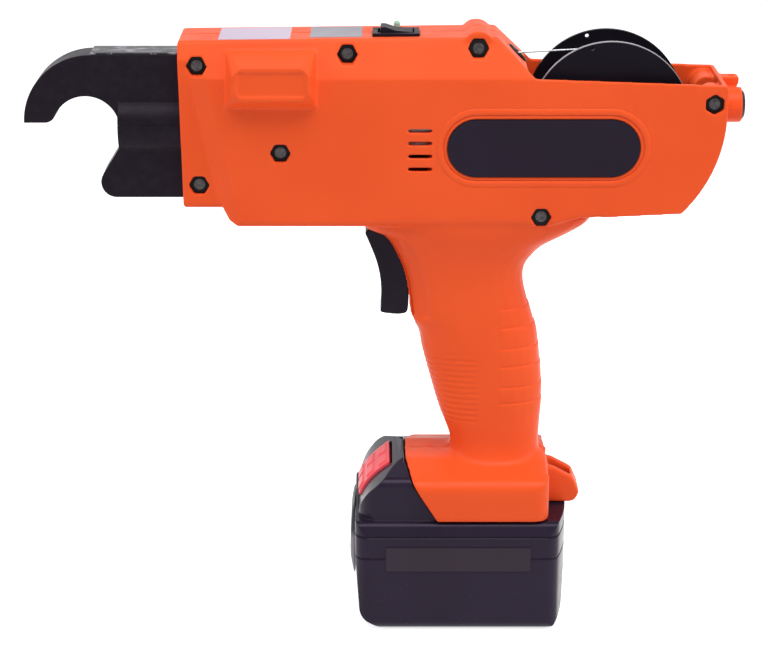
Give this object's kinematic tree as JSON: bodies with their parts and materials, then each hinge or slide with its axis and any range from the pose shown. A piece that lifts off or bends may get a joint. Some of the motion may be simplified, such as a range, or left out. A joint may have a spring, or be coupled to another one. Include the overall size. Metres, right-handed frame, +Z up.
{
  "type": "rebar tying tool",
  "caption": "Cordless rebar tying tool with hooked nose jaws, a wire reel behind the grip and a slide-on battery that it stands on.",
  "frame": {"origin": "centre of the battery's flat base", "axes": "-X towards the nose, +Z up, -Y the tool's left side"},
  "size_m": [0.3259, 0.072, 0.2826],
  "materials": {
    "orange_plastic": "moulded, softly glossy",
    "black_plastic": "fine moulded grain",
    "battery_plastic": "glossy moulded",
    "jaw_steel": "blackened steel, worn edges",
    "steel": "machined",
    "zinc_steel": "zinc plated",
    "tie_wire": "annealed wire",
    "plate_black": "bare printed plate",
    "red_plastic": "moulded",
    "grey_rubber": "soft",
    "brass": "bright",
    "board_green": "laminate",
    "lamp_green": "translucent",
    "cell_wrap": "shrink wrap"
  },
  "bodies": {
    "housing": {"left_housing": "orange_plastic", "right_housing": "orange_plastic", "housing_bolts": "zinc_steel", "housing_nuts": "jaw_steel", "name_plate": "plate_black", "upper_jaw": "jaw_steel", "lower_jaw": "jaw_steel", "jaw_cover": "jaw_steel", "twist_motor": "steel", "ring_gear": "steel", "spindle_bearing": "steel", "cutter_pin": "steel", "wire_inlet": "black_plastic", "feed_motor": "steel", "feed_plate": "steel", "idler_pin": "steel", "guide_tube": "steel", "wire_strand": "tie_wire", "reel_axle": "steel", "brake_spring": "steel", "brake_cap": "black_plastic", "trigger_pin": "steel", "trigger_spring": "steel", "trigger_switch": "black_plastic", "control_board": "board_green", "power_switch": "black_plastic", "status_lamp": "lamp_green", "terminal_block": "black_plastic", "terminal_blades": "brass"},
    "trigger": {"trigger": "black_plastic"},
    "rocker": {"power_rocker": "black_plastic"},
    "battery": {"battery_lower": "battery_plastic", "battery_upper": "battery_plastic", "battery_cells": "cell_wrap", "battery_board": "board_green", "battery_screws": "steel", "latch_spring": "steel", "battery_tab": "grey_rubber"},
    "latch": {"latch_button": "red_plastic"},
    "reel": {"wire_reel": "black_plastic", "reel_wire": "tie_wire"},
    "brake": {"brake_shoe": "black_plastic"},
    "feed_drive": {"feed_roller": "steel"},
    "idler_arm": {"idler_lever": "steel"},
    "idler": {"idler_roller": "steel"},
    "spindle": {"twist_spindle": "steel", "claw_pins": "steel"},
    "sun": {"motor_pinion": "steel"},
    "planet_1": {"planet_gear_1": "steel"},
    "planet_2": {"planet_gear_2": "steel"},
    "planet_3": {"planet_gear_3": "steel"},
    "sleeve": {"twist_sleeve": "steel"},
    "left_claw": {"claw_left": "steel"},
    "right_claw": {"claw_right": "steel"},
    "cutter": {"cutter_lever": "steel", "cutter_blade": "steel"}
  },
  "joints": [
    {"name": "trigger_pull", "type": "hinge", "parent": "housing", "child": "trigger", "pos_m": [-0.027, 0, 0.187], "axis": [0, -1, 0], "range_deg": [0, 8], "stiffness_Nm_per_rad": 1.2, "springref_deg": -8.59, "deforming": ["trigger_spring"]},
    {"name": "power_rock", "type": "hinge", "parent": "housing", "child": "rocker", "pos_m": [-0.031, -0.0035, 0.2784], "axis": [0, -1, 0], "range_deg": [0, 14]},
    {"name": "battery_slide", "type": "slide", "parent": "housing", "child": "battery", "axis": [-1, 0, 0], "range_m": [0, 0.065]},
    {"name": "latch_press", "type": "slide", "parent": "battery", "child": "latch", "axis": [0.6, 0, -0.8], "range_m": [0, 0.0018], "stiffness_N_per_m": 1500, "springref_m": -0.002, "deforming": ["latch_spring"]},
    {"name": "reel_spin", "type": "hinge", "parent": "housing", "child": "reel", "pos_m": [0.065, 0, 0.2415], "axis": [0, 1, 0], "continuous": true},
    {"name": "brake_press", "type": "slide", "parent": "housing", "child": "brake", "axis": [1, 0, 0], "range_m": [0, 0.002], "stiffness_N_per_m": 800, "springref_m": -0.002, "deforming": ["brake_spring"]},
    {"name": "feed_spin", "type": "hinge", "parent": "housing", "child": "feed_drive", "pos_m": [0.006, 0.00445, 0.26], "axis": [0, 0, 1], "continuous": true},
    {"name": "idler_swing", "type": "hinge", "parent": "housing", "child": "idler_arm", "pos_m": [-0.002, -0.0105, 0.26], "axis": [0, 0, -1], "range_deg": [0, 4], "stiffness_Nm_per_rad": 0.8, "springref_deg": -5.73},
    {"name": "idler_spin", "type": "hinge", "parent": "idler_arm", "child": "idler", "pos_m": [0.006, -0.00445, 0.268], "axis": [0, 0, 1], "continuous": true},
    {"name": "twist_spin", "type": "hinge", "parent": "housing", "child": "spindle", "pos_m": [-0.1, 0, 0.237], "axis": [1, 0, 0], "continuous": true},
    {"name": "sun_spin", "type": "hinge", "parent": "housing", "child": "sun", "pos_m": [-0.065, 0, 0.237], "axis": [1, 0, 0], "continuous": true},
    {"name": "planet_1_spin", "type": "hinge", "parent": "spindle", "child": "planet_1", "pos_m": [-0.068, 0.0105, 0.237], "axis": [1, 0, 0], "continuous": true},
    {"name": "planet_2_spin", "type": "hinge", "parent": "spindle", "child": "planet_2", "pos_m": [-0.068, -0.00525, 0.24609], "axis": [1, 0, 0], "continuous": true},
    {"name": "planet_3_spin", "type": "hinge", "parent": "spindle", "child": "planet_3", "pos_m": [-0.068, -0.00525, 0.22791], "axis": [1, 0, 0], "continuous": true},
    {"name": "sleeve_slide", "type": "slide", "parent": "spindle", "child": "sleeve", "axis": [-1, 0, 0], "range_m": [0, 0.007]},
    {"name": "left_claw_close", "type": "hinge", "parent": "spindle", "child": "left_claw", "pos_m": [-0.141, -0.0026, 0.237], "axis": [0, 0, -1], "range_deg": [0, 12]},
    {"name": "right_claw_close", "type": "hinge", "parent": "spindle", "child": "right_claw", "pos_m": [-0.141, 0.0026, 0.237], "axis": [0, 0, 1], "range_deg": [0, 12]},
    {"name": "cutter_swing", "type": "hinge", "parent": "housing", "child": "cutter", "pos_m": [-0.0995, -0.0157, 0.26], "axis": [0, 1, 0], "range_deg": [0, 17.7]}
  ],
  "couplings": [
    {"joint": "idler_spin", "follows": "feed_spin", "ratio": -1},
    {"joint": "sun_spin", "follows": "twist_spin", "ratio": 5},
    {"joint": "planet_1_spin", "follows": "twist_spin", "ratio": -2.6667},
    {"joint": "planet_2_spin", "follows": "twist_spin", "ratio": -2.6667},
    {"joint": "planet_3_spin", "follows": "twist_spin", "ratio": -2.6667},
    {"joint": "left_claw_close", "follows": "sleeve_slide", "rad_per_m": 29.91},
    {"joint": "right_claw_close", "follows": "sleeve_slide", "rad_per_m": 29.91},
    {"joint": "cutter_swing", "follows": "sleeve_slide", "rad_per_m": 44}
  ]
}
